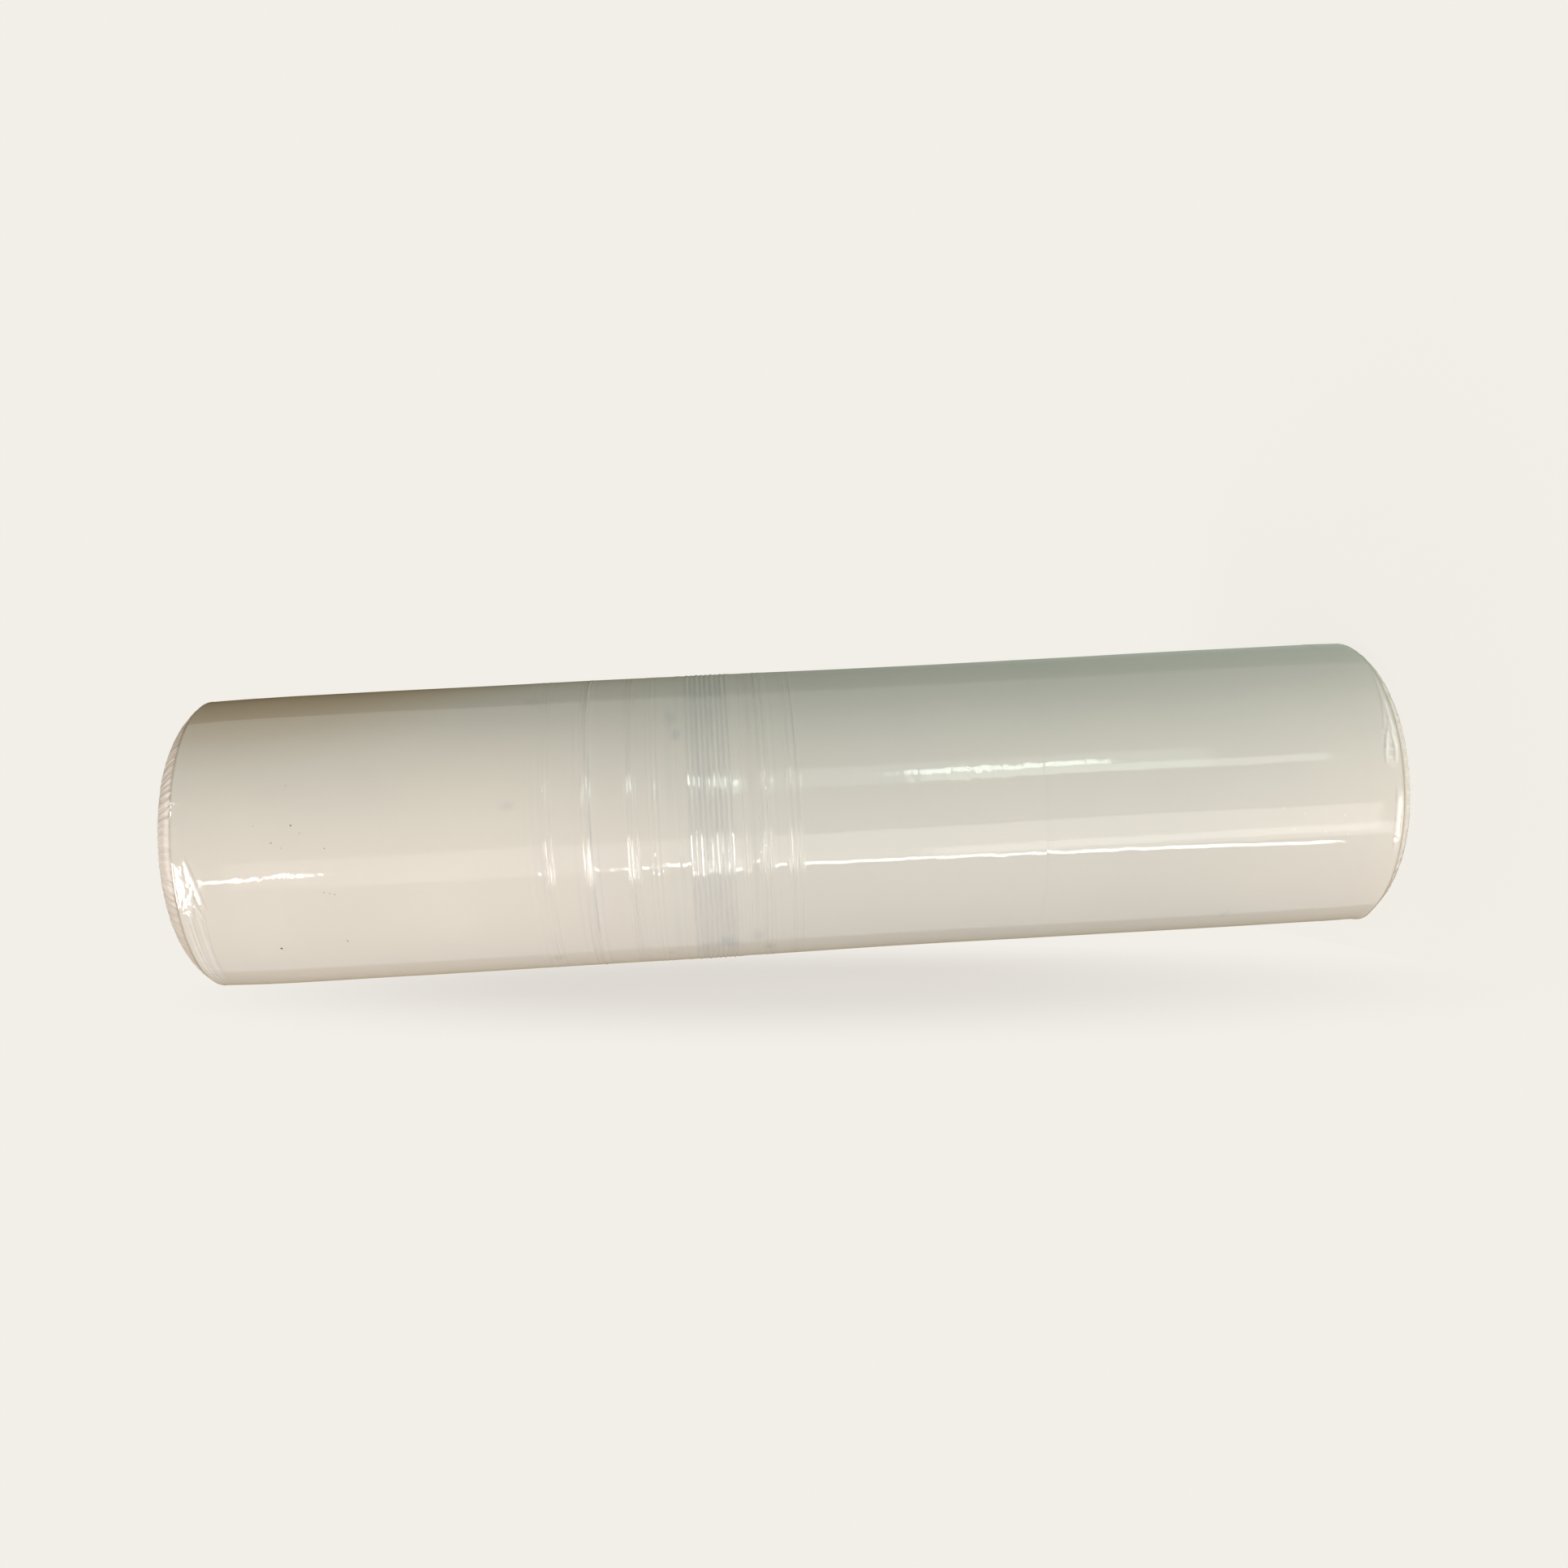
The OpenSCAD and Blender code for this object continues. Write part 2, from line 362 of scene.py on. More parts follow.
def lathe(rows: Sequence[Row], columns: int) -> bmesh.types.BMesh:
    """Spins a closed half section round the Z axis.

    Args:
        rows: Points of the section as (radius, height), in order round it.
        columns: Number of steps round the axis.

    Returns:
        The closed mesh, with its first column at the turn angle 0.
    """
    mesh = bmesh.new()
    verts = [mesh.verts.new((0.0, -radius, z)) for radius, z in rows]
    edges = [mesh.edges.new((a, b)) for a, b in zip(verts, verts[1:] + verts[:1])]
    bmesh.ops.spin(
        mesh, geom=verts + edges, cent=(0, 0, 0), axis=(0, 0, 1), dvec=(0, 0, 0),
        angle=2 * math.pi, steps=columns, use_merge=True, use_duplicate=False,
    )
    bmesh.ops.remove_doubles(mesh, verts=mesh.verts[:], dist=1e-5)
    bmesh.ops.recalc_face_normals(mesh, faces=mesh.faces[:])
    return mesh


def turn_of(x: float, y: float) -> float:
    """Turn angle of a point, from -180 to 180."""
    return math.degrees(math.atan2(x, -y))


def mesh_object(
    mesh: bmesh.types.BMesh, name: str, materials: Iterable[bpy.types.Material],
) -> bpy.types.Object:
    """Turns a mesh in metres into an object with its materials, and frees the mesh."""
    data = bpy.data.meshes.new(name)
    mesh.to_mesh(data)
    mesh.free()
    for material in materials:
        data.materials.append(material)
    return linked(name, data)


def to_object(
    mesh: bmesh.types.BMesh, name: str, materials: Iterable[bpy.types.Material],
) -> bpy.types.Object:
    """Turns a mesh in millimetres into a smooth-shaded object in metres, and frees the mesh."""
    bmesh.ops.scale(mesh, vec=(MM, MM, MM), verts=mesh.verts[:])
    for face in mesh.faces:
        face.smooth = True
    return mesh_object(mesh, name, materials)


class Shader:
    """A material's node tree, or a group's, with short ways to add nodes."""

    def __init__(self, tree: bpy.types.NodeTree) -> None:
        """Starts on an empty tree."""
        self.tree = tree
        self.tree.nodes.clear()

    def node(self, kind: str, inputs: Optional[dict] = None, **settings: object) -> bpy.types.Node:
        """Adds a node.

        Args:
            kind: Blender's name for the node.
            inputs: Values or output sockets for its inputs, by name or number.
            settings: Values for the node's own properties.

        Returns:
            The new node.
        """
        node = self.tree.nodes.new(kind)
        for key, value in settings.items():
            setattr(node, key, value)
        for key, value in (inputs or {}).items():
            socket = node.inputs[key]
            if isinstance(value, Socket):
                self.tree.links.new(value, socket)
            else:
                socket.default_value = value
        return node

    def math(self, operation: str, first: object, second: object = 0.0) -> Socket:
        """Adds a sum, product or other operation and returns its result."""
        return self.node("ShaderNodeMath", {0: first, 1: second}, operation=operation).outputs[0]

    def vector(self, operation: str, *values: object) -> bpy.types.Node:
        """Adds an operation on vectors and returns its node."""
        return self.node("ShaderNodeVectorMath", dict(enumerate(values)), operation=operation)

    def span(
        self, value: object, low: float, high: float, to_low: float = 0.0, to_high: float = 1.0,
    ) -> Socket:
        """Maps a range of values smoothly on another and returns the result."""
        node = self.node(
            "ShaderNodeMapRange",
            {"Value": value, "From Min": low, "From Max": high, "To Min": to_low, "To Max": to_high},
            interpolation_type="SMOOTHSTEP",
        )
        return node.outputs["Result"]

    def mix(self, share: object, first: object, second: object) -> Socket:
        """Mixes two colours and returns the result."""
        node = self.node("ShaderNodeMix", {0: share, 6: first, 7: second}, data_type="RGBA")
        return node.outputs[2]

    def noise(
        self, vector: object, scale: object, detail: float = 2.0, roughness: float = 0.5,
    ) -> Socket:
        """Adds noise texture and returns its value."""
        inputs = {"Vector": vector, "Scale": scale, "Detail": detail, "Roughness": roughness}
        return self.node("ShaderNodeTexNoise", inputs).outputs["Fac"]

    def stretched(self, vector: object, scale: Vector) -> Socket:
        """Scales coordinates along each axis and returns them."""
        node = self.node("ShaderNodeMapping", {"Vector": vector, "Scale": scale}, vector_type="POINT")
        return node.outputs["Vector"]

    def group(self, tree: bpy.types.NodeTree, vector: object, *values: float) -> Socket:
        """Adds a shared effect with its coordinates and numbers, and returns its result."""
        inputs = dict(enumerate((vector, *values)))
        return self.node("ShaderNodeGroup", inputs, node_tree=tree).outputs[0]

    def coordinates(self) -> tuple[Socket, Sequence[Socket]]:
        """Adds the object's own coordinates and returns them whole, and as X, Y and Z."""
        place = self.node("ShaderNodeTexCoord").outputs["Object"]
        return place, self.node("ShaderNodeSeparateXYZ", {0: place}).outputs

    def attribute(self, name: str) -> Socket:
        """Adds a value that the mesh carries at its points and returns it."""
        node = self.node("ShaderNodeAttribute", attribute_name=name, attribute_type="GEOMETRY")
        return node.outputs["Fac"]

    def bump(self, height: object, strength: float = 1.0) -> Socket:
        """Adds bump of a height in metres and returns the normal."""
        node = self.node("ShaderNodeBump", {"Height": height, "Strength": strength, "Distance": 1.0})
        return node.outputs["Normal"]

    def blend(self, share: object, first: bpy.types.Node, second: bpy.types.Node) -> bpy.types.Node:
        """Mixes two shaders and returns the mix's node."""
        return self.node("ShaderNodeMixShader", {0: share, 1: first.outputs[0], 2: second.outputs[0]})

    def surface(self, kind: str, inputs: dict) -> None:
        """Adds a last shader and shows it on the material's surface."""
        shown = self.node(kind, inputs).outputs[0]
        self.node("ShaderNodeOutputMaterial", {"Surface": shown})


def new_material(name: str) -> tuple[bpy.types.Material, Shader]:
    """Makes a material and starts on its empty node tree."""
    material = bpy.data.materials.new(name)
    material.use_nodes = True
    return material, Shader(material.node_tree)


def rgba(colour: Colour) -> tuple[float, float, float, float]:
    """Adds a full alpha to a colour."""
    return (*colour, 1.0)


class EffectGroups:
    """Shader groups for effects that several finishes share."""

    def __init__(self) -> None:
        """Builds each group once."""
        self.ring_lines = self._ring_lines()
        self.haze = self._haze()

    @staticmethod
    def _group(
        name: str, inputs: Sequence[tuple[str, float]], output: str,
    ) -> tuple[bpy.types.NodeTree, Shader]:
        """Makes an empty group with a vector input, number inputs and a number output."""
        tree = bpy.data.node_groups.new(name, "ShaderNodeTree")
        shader = Shader(tree)
        tree.interface.new_socket("Vector", in_out="INPUT", socket_type="NodeSocketVector")
        for label, default in inputs:
            socket = tree.interface.new_socket(label, in_out="INPUT", socket_type="NodeSocketFloat")
            socket.default_value = default
        tree.interface.new_socket(output, in_out="OUTPUT", socket_type="NodeSocketFloat")
        return tree, shader

    def _ring_lines(self) -> bpy.types.NodeTree:
        """Fine lines that run round the roll, each a little different along its length."""
        inputs = [("Lines per metre", 900.0), ("Waver", 0.02)]
        tree, shader = self._group("ring_lines", inputs, "Lines")
        source = shader.node("NodeGroupInput")
        apart = shader.node("ShaderNodeSeparateXYZ", {0: source.outputs["Vector"]})
        along = source.outputs["Lines per metre"]
        flat = shader.math("MULTIPLY", along, source.outputs["Waver"])
        scaled = {
            axis: shader.math("MULTIPLY", apart.outputs[axis], scale)
            for axis, scale in enumerate((flat, flat, along))
        }
        stretched = shader.node("ShaderNodeCombineXYZ", scaled)
        lines = shader.noise(stretched.outputs[0], 1.0, 3.0, 0.6)
        shader.node("NodeGroupOutput", {"Lines": lines})
        return tree

    def _haze(self) -> bpy.types.NodeTree:
        """Cloudy patches, as where film layers cling or hold a little air."""
        tree, shader = self._group("haze", [("Scale", 30.0)], "Haze")
        source = shader.node("NodeGroupInput")
        clouds = shader.noise(source.outputs["Vector"], source.outputs["Scale"], 4.0, 0.55)
        shader.node("NodeGroupOutput", {"Haze": shader.span(clouds, 0.3, 0.7)})
        return tree


@dataclass(frozen=True)
class RingStreak:
    """A coloured ring in the film: place up the roll, half width, strength, and how uneven it is."""

    z: float
    half_width: float
    strength: float
    uneven: float = 0.3


@dataclass(frozen=True)
class Speck:
    """A small round mark at a turn angle and height: dark ones are specks under the outermost film,
    bright ones painted glints.
    """

    turn: float
    z: float
    radius: float
    strength: float


@dataclass(frozen=True)
class Spot:
    """A patch of the side: its middle, its arc, its half height, and the strength of its effect."""

    turn: float
    z: float
    arc: float
    height: float
    strength: float

    def far(self, shader: Shader, place: Socket, radius: float) -> Socket:
        """Distance from the middle, as a share of the reach round the roll and along it."""
        reach = math.radians(self.arc) * radius / 2
        off = shader.vector("SUBTRACT", place, at_turn(radius, self.turn, self.z) * MM)
        scale = Vector((1 / reach, 1 / reach, 1 / self.height)) / MM
        scaled = shader.vector("MULTIPLY", off.outputs[0], scale)
        return shader.vector("LENGTH", scaled.outputs[0]).outputs["Value"]

    def mask(self, shader: Shader, place: Socket, radius: float) -> Socket:
        """Masks the spot with a soft outline, up to its strength."""
        return shader.span(self.far(shader, place, radius), 0.3, 1.0, self.strength, 0.0)


@dataclass(frozen=True)
class RaggedPatch(Spot):
    """A patch where the outermost film clings unevenly, so that reflections break up in it."""


@dataclass(frozen=True)
class ShadeTint(Spot):
    """A broad, soft patch of painted shade on the winding, tinted like the light that it stands in for.
    """

    colour: Colour


@dataclass(frozen=True)
class Smudge(Spot):
    """A faint grey smudge, wider than it is high."""

    def mask(self, shader: Shader, place: Socket, radius: float) -> Socket:
        """Masks the smudge with a broken outline, up to its strength."""
        broken = shader.noise(shader.stretched(place, Vector((160, 160, 700))), 1.0)
        far = shader.math("ADD", self.far(shader, place, radius), broken)
        return shader.span(far, 0.55, 1.45, self.strength, 0.0)


@dataclass(frozen=True)
class TickBand:
    """A band of the side whose fine ridges break reflections into upright ticks."""

    z: float
    half_width: float
    strength: float


@dataclass(frozen=True)
class WoundFilmFinish:
    """Finish of the roll's side: many clear layers that together look milky, under a glossy skin."""

    base: Colour = srgb(234, 226, 216)
    streak: Colour = srgb(150, 160, 180)
    speck: Colour = srgb(70, 62, 52)
    fold: Colour = srgb(254, 251, 246)
    # Painted shade for the end films' fold lines and the feet of their creases
    groove_shade: Colour = srgb(158, 136, 112)
    lip: Colour = srgb(206, 186, 168)
    roughness: float = 0.045
    # Painted highlight for the crests of pleats, creases and crumples, and for the glints
    lip_roughness: float = 0.3
    ior: float = 1.45
    specular: float = 0.45
    haze_scale: float = 16.0
    haze_share: float = 0.05
    most_stain: float = 0.9
    fold_highlight_share: float = 0.75
    groove_shade_share: float = 0.8
    # Lines per metre and how much they waver, for the fine rings and for the ridges of the ticks
    fine_lines: Row = (1400.0, 0.03)
    tick_lines: Row = (700.0, 0.012)
    # Heights of the bump in metres
    slow_height: float = 0.00008
    dimple_height: float = 0.000018
    line_height: float = 0.000003
    tick_height: float = 0.0011
    ticks: tuple[TickBand, ...] = table(
        TickBand,
        (282.7, 10.0, 0.3), (332.0, 2.4, 0.8), (314.2, 3.2, 0.7), (262.0, 3.6, 0.7), (250.5, 3.6, 0.6),
        (270.0, 2.4, 0.5), (347.0, 2.4, 0.5),
    )
    # Painted shade: greyer and greener round the lower part, and a brown painted reflection at the upper
    # edge
    shade_tints: tuple[ShadeTint, ...] = (
        ShadeTint(0, 168, 720, 225, 0.48, srgb(197, 200, 196)),
        ShadeTint(80, 470, 110, 130, 0.55, srgb(216, 182, 142)),
    )
    patches: tuple[RaggedPatch, ...] = table(
        RaggedPatch,
        (13, 172, 24, 42, 6.0), (-18, 165, 14, 110, 2.5), (12, 235, 16, 30, 3.0),
        (12, 120, 16, 30, 1.5), (-19, 290, 16, 42, 2.6), (-14, 452, 12, 30, 6.0),
        (-14, 40, 18, 34, 3.5),
    )
    streaks: tuple[RingStreak, ...] = table(
        RingStreak,
        (291.4, 0.8, 0.1, 0.5), (288.6, 2.2, 0.05, 0.4), (285.4, 0.9, 0.03, 0.7),
        (283.4, 1.3, 0.05, 0.8), (281.0, 1.0, 0.03, 0.7), (278.6, 0.9, 0.04, 0.6),
        (276.2, 0.9, 0.04, 0.8), (273.4, 0.9, 0.05, 0.6), (282.6, 9.8, 0.16, 0.2),
        (266.6, 0.9, 0.08, 1.0), (263.2, 0.8, 0.07, 1.0), (257.4, 0.6, 0.06, 1.0),
        (294.9, 0.7, 0.06, 1.0), (299.0, 1.6, 0.06, 1.0), (303.6, 0.6, 0.05, 1.0),
        (314.2, 0.8, 0.06, 1.0), (330.3, 0.5, 0.26, 0.9), (327.8, 0.6, 0.08, 1.0),
        (349.2, 3.0, 0.05, 1.0), (336.4, 0.6, 0.05, 1.0), (150.3, 0.6, 0.08, 1.0),
    )
    specks: tuple[Speck, ...] = table(
        Speck,
        (5, 444.8, 0.38, 0.75), (-4, 432.4, 0.34, 0.4), (2, 441.5, 0.3, 0.25), (-1, 452.5, 0.42, 0.35),
        (-3, 449.0, 0.3, 0.25), (5.5, 459.0, 0.3, 0.2), (-45, 455.8, 0.48, 1.0),
        (-43, 429.5, 0.42, 0.55), (-20.5, 434.4, 0.32, 0.35), (-21, 432.2, 0.32, 0.3),
        (-21.5, 430.4, 0.34, 0.35), (20, 447.0, 0.36, 0.2), (163, 352.0, 0.45, 0.7),
        (121, 205.0, 0.4, 0.6), (-136, 402.0, 0.45, 0.6),
    )
    # Painted highlights: small bright glints in the fold's highlight colour
    painted_glints: tuple[Speck, ...] = table(
        Speck,
        (-9, 56.0, 0.45, 0.3), (-11.5, 47.2, 0.4, 0.35), (-17.5, 51.5, 0.5, 0.3),
        (-19, 38.6, 0.45, 0.4), (-13, 31.0, 0.5, 0.3), (-20.5, 29.4, 0.4, 0.35), (-15, 24.8, 0.4, 0.35),
        (59, 60.0, 0.45, 0.35), (-12, 262.5, 0.5, 0.5), (-14.5, 264.5, 0.5, 0.5),
    )
    smudges: tuple[Smudge, ...] = table(
        Smudge,
        (41, 297.5, 14, 4.0, 0.16), (33, 295.8, 9, 3.0, 0.2), (-55, 267.0, 16, 4.0, 0.18),
        (-66, 262.0, 8, 4.0, 0.22), (8, 362.0, 6, 5.0, 0.12), (-64, 349.0, 9, 4.0, 0.16),
        (56, 354.0, 10, 6.0, 0.1), (-60, 72.0, 12, 3.0, 0.12), (-66, 302.6, 9, 3.0, 0.14),
        (-58, 279.0, 14, 6.0, 0.2), (150, 240.0, 12, 4.0, 0.16),
    )

    def material(self, groups: EffectGroups, radius: float) -> bpy.types.Material:
        """Builds the material.

        Args:
            groups: The shared effect groups.
            radius: Radius of the roll's side in millimetres.

        Returns:
            The finished material.
        """
        material, shader = new_material("wound_film")
        place, axes = shader.coordinates()
        lines = shader.group(groups.ring_lines, place, *self.fine_lines)
        haze = shader.group(groups.haze, place, self.haze_scale)
        stain = self._streaks(shader, place, axes[2], lines)
        for smudge in self.smudges:
            stain = shader.math("ADD", stain, smudge.mask(shader, place, radius))
        stain = shader.math("MINIMUM", stain, self.most_stain)
        clouded = shader.math("MULTIPLY", haze, self.haze_share)
        colour = shader.mix(clouded, rgba(self.base), rgba(self.streak))
        # Painted shade patches
        for shade_tint in self.shade_tints:
            colour = shader.mix(shade_tint.mask(shader, place, radius), colour, rgba(shade_tint.colour))
        colour = shader.mix(stain, colour, rgba(self.streak))
        colour = shader.mix(self._dots(shader, place, self.specks, radius), colour, rgba(self.speck))
        # Painted glints, in the painted highlight colour
        colour = shader.mix(self._dots(shader, place, self.painted_glints, radius), colour, rgba(self.fold))
        frost = shader.attribute("frost")
        colour = shader.mix(frost, colour, rgba(self.lip))
        # Painted highlight where the mesh marks crests of pleats, creases and crumples
        fold = shader.math("MULTIPLY", shader.attribute("fold"), self.fold_highlight_share)
        colour = shader.mix(fold, colour, rgba(self.fold))
        # Painted shade where the mesh marks fold lines and crease feet
        groove_shade = shader.math("MULTIPLY", shader.attribute("groove_shade"), self.groove_shade_share)
        colour = shader.mix(groove_shade, colour, rgba(self.groove_shade))
        ridges = shader.group(groups.ring_lines, place, *self.tick_lines)
        ticked = shader.math("MULTIPLY", self._tick_bands(shader, axes[2]), self.tick_height)
        ticks = shader.math("MULTIPLY", ticked, shader.math("SUBTRACT", ridges, 0.5))
        height = shader.math("ADD", self._height(shader, place, lines, radius), ticks)
        shader.surface("ShaderNodeBsdfPrincipled", {
            "Base Color": colour,
            "Roughness": shader.span(frost, 0.0, 1.0, self.roughness, self.lip_roughness),
            "IOR": self.ior,
            "Specular IOR Level": self.specular,
            "Normal": shader.bump(height),
        })
        return material

    def _streaks(self, shader: Shader, place: Socket, z: Socket, lines: Socket) -> Socket:
        """Adds up the coloured rings, each fading in and out on its way round."""
        total: object = 0.0
        for number, ring in enumerate(self.streaks):
            off = shader.math("ABSOLUTE", shader.math("SUBTRACT", z, ring.z * MM))
            width = ring.half_width * MM
            core = shader.span(off, width * 0.45, width * 1.25, ring.strength, 0.0)
            around = shader.stretched(place, Vector((30, 30, 60)))
            shifted = shader.vector("ADD", around, Vector((number, 3 * number, 0))).outputs[0]
            patch = shader.span(shader.noise(shifted, 1.0, 3.0), 0.4, 0.62, 1 - ring.uneven, 1.0)
            total = shader.math("ADD", total, shader.math("MULTIPLY", core, patch))
        fine = shader.span(lines, 0.35, 0.7, 0.6, 1.25)
        return shader.math("MULTIPLY", total, fine)

    def _tick_bands(self, shader: Shader, z: Socket) -> Socket:
        """Masks the bands that hold fine ridges."""
        total: object = 0.0
        for band in self.ticks:
            off = shader.math("ABSOLUTE", shader.math("SUBTRACT", z, band.z * MM))
            width = band.half_width * MM
            near = shader.span(off, width * 0.6, width, band.strength, 0.0)
            total = shader.math("MAXIMUM", total, near)
        return total

    @staticmethod
    def _dots(shader: Shader, place: Socket, specks: Sequence[Speck], radius: float) -> Socket:
        """Masks small round dots: the dark specks, and the painted glints."""
        total: object = 0.0
        for speck in specks:
            middle = at_turn(radius, speck.turn, speck.z) * MM
            far = shader.vector("DISTANCE", place, middle).outputs["Value"]
            size = speck.radius * MM
            dot = shader.span(far, size * 0.6, size * 1.3, speck.strength, 0.0)
            total = shader.math("MAXIMUM", total, dot)
        return total

    def _height(self, shader: Shader, place: Socket, lines: Socket, radius: float) -> Socket:
        """Height of the film's unevenness in metres: slow ripples, small dimples and fine rings."""
        ripples = shader.noise(shader.stretched(place, Vector((1, 1, 1.4))), 60.0, 1.0)
        dimples = shader.noise(shader.stretched(place, Vector((0.8, 0.8, 1.6))), 190.0, 2.0)
        ragged: object = 1.0
        for patch in self.patches:
            ragged = shader.math("ADD", ragged, patch.mask(shader, place, radius))
        slow = shader.math("MULTIPLY", ripples, self.slow_height)
        small = shader.math("MULTIPLY", shader.math("MULTIPLY", dimples, ragged), self.dimple_height)
        ringed = shader.math("MULTIPLY", lines, self.line_height)
        return shader.math("ADD", shader.math("ADD", slow, small), ringed)


@dataclass(frozen=True)
class WoundFaceFinish:
    """Finish of the wound faces: hundreds of film edges, seen as fine rings."""

    base: Colour = srgb(214, 212, 203)
    dark: Colour = srgb(160, 162, 158)
    spiral_step: float = 0.0009
    rings_per_metre: float = 2600.0
    haze_scale: float = 40.0
    haze_share: float = 0.2
    ring_height: float = 0.00012
    roughness: float = 0.38

    def material(self, groups: EffectGroups) -> bpy.types.Material:
        """Builds the material from rings round the axis."""
        material, shader = new_material("wound_face")
        place, (x, y, _) = shader.coordinates()
        flat = shader.node("ShaderNodeCombineXYZ", {0: x, 1: y, 2: 0.0})
        radius = shader.vector("LENGTH", flat.outputs[0]).outputs["Value"]
        turn = shader.math("ARCTAN2", y, x)
        climb = shader.math("MULTIPLY", turn, self.spiral_step / (2 * math.pi))
        along = shader.math("MULTIPLY", shader.math("ADD", radius, climb), self.rings_per_metre)
        at = shader.node("ShaderNodeCombineXYZ", {0: along, 1: 0.0, 2: 0.0})
        turns = shader.noise(at.outputs[0], 1.0, 3.0, 0.65)
        haze = shader.group(groups.haze, place, self.haze_scale)
        colour = shader.mix(shader.span(turns, 0.32, 0.68), rgba(self.dark), rgba(self.base))
        colour = shader.mix(shader.math("MULTIPLY", haze, self.haze_share), colour, rgba(self.dark))
        shader.surface("ShaderNodeBsdfPrincipled", {
            "Base Color": colour,
            "Roughness": self.roughness,
            "IOR": 1.45,
            "Normal": shader.bump(shader.math("MULTIPLY", turns, self.ring_height), 0.8),
        })
        return material


@dataclass(frozen=True)
class CardFinish:
    """Finish of the card core: brown paper plies wound in a spiral, scuffed at the rims."""

    base: Colour = srgb(186, 158, 122)
    seam: Colour = srgb(128, 102, 74)
    fibre: Colour = srgb(206, 182, 148)
    ply_rise: float = 0.11
    haze_scale: float = 60.0
    haze_share: float = 0.25
    fibre_height: float = 0.00008
    seam_depth: float = 0.0002
    roughness: float = 0.85

    def material(self, groups: EffectGroups) -> bpy.types.Material:
        """Builds the material with its spiral seams and paper fibres."""
        material, shader = new_material("core_card")
        place, (x, y, z) = shader.coordinates()
        turn = shader.math("ARCTAN2", y, x)
        climb = shader.math("ADD", z, shader.math("MULTIPLY", turn, self.ply_rise / (2 * math.pi)))
        share = shader.math("FRACT", shader.math("DIVIDE", climb, self.ply_rise))
        off = shader.math("ABSOLUTE", shader.math("SUBTRACT", share, 0.5))
        seam = shader.span(off, 0.004, 0.012, 1.0, 0.0)
        fibres = shader.noise(shader.stretched(place, Vector((900, 900, 300))), 1.0, 3.0, 0.6)
        haze = shader.group(groups.haze, place, self.haze_scale)
        colour = shader.mix(shader.span(fibres, 0.35, 0.7, 0.0, 0.6), rgba(self.base), rgba(self.fibre))
        colour = shader.mix(shader.math("MULTIPLY", haze, self.haze_share), colour, rgba(self.seam))
        colour = shader.mix(seam, colour, rgba(self.seam))
        raised = shader.math("MULTIPLY", fibres, self.fibre_height)
        height = shader.math("SUBTRACT", raised, shader.math("MULTIPLY", seam, self.seam_depth))
        shader.surface("ShaderNodeBsdfPrincipled", {
            "Base Color": colour,
            "Roughness": self.roughness,
            "Specular IOR Level": 0.25,
            "Normal": shader.bump(height, 0.7),
        })
        return material


